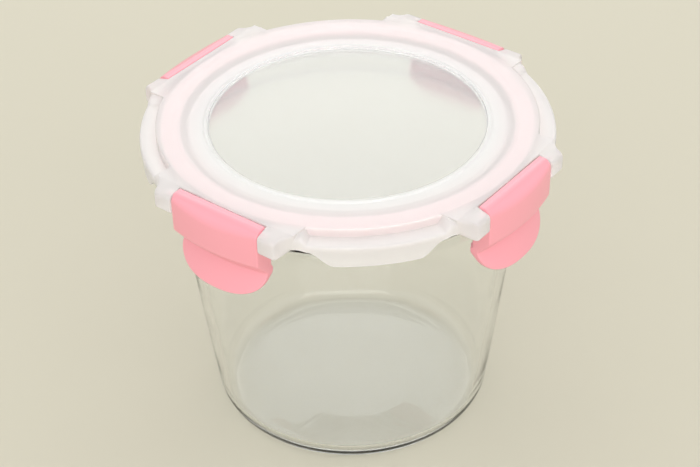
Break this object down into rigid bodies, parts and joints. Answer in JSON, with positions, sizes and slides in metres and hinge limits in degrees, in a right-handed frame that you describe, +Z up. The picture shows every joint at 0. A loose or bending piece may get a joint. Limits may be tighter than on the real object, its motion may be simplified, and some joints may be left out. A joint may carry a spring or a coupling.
{
  "type": "glass storage container",
  "caption": "Round tall glass food jar with a translucent clip-on lid, a pink silicone gasket and pink flip latches that hook under the rim bead.",
  "frame": {"origin": "centre of the jar's flat base, on the surface it stands on", "axes": "+Z up through the jar and lid, +X out through latch_right, -Y out through latch_front"},
  "size_m": [0.1444, 0.1444, 0.115],
  "materials": {
    "clear_glass": "clear polished tempered glass, faint cool tint at the rim and foot",
    "translucent_lid": "milky translucent polypropylene, fine satin surface, clearer centre panel",
    "pink_silicone": "soft matte pink silicone",
    "pink_plastic": "satin coral-pink moulded polypropylene"
  },
  "bodies": {
    "jar": {"jar": "clear_glass"},
    "lid": {"lid": "translucent_lid", "gasket": "pink_silicone"},
    "latch_front": {"latch_front": "pink_plastic"},
    "latch_right": {"latch_right": "pink_plastic"},
    "latch_back": {"latch_back": "pink_plastic"},
    "latch_left": {"latch_left": "pink_plastic"}
  },
  "joints": [
    {"name": "lid_lift", "type": "slide", "parent": "jar", "child": "lid", "axis": [0, 0, 1], "range_m": [0, 0.12]},
    {"name": "latch_front_hinge", "type": "hinge", "parent": "lid", "child": "latch_front", "pos_m": [0, -0.0673, 0.1125], "axis": [-1, 0, 0], "range_deg": [-5, 110]},
    {"name": "latch_right_hinge", "type": "hinge", "parent": "lid", "child": "latch_right", "pos_m": [0.0673, 0, 0.1125], "axis": [0, -1, 0], "range_deg": [-5, 110]},
    {"name": "latch_back_hinge", "type": "hinge", "parent": "lid", "child": "latch_back", "pos_m": [0, 0.0673, 0.1125], "axis": [1, 0, 0], "range_deg": [-5, 110]},
    {"name": "latch_left_hinge", "type": "hinge", "parent": "lid", "child": "latch_left", "pos_m": [-0.0673, 0, 0.1125], "axis": [0, 1, 0], "range_deg": [-5, 110]}
  ]
}
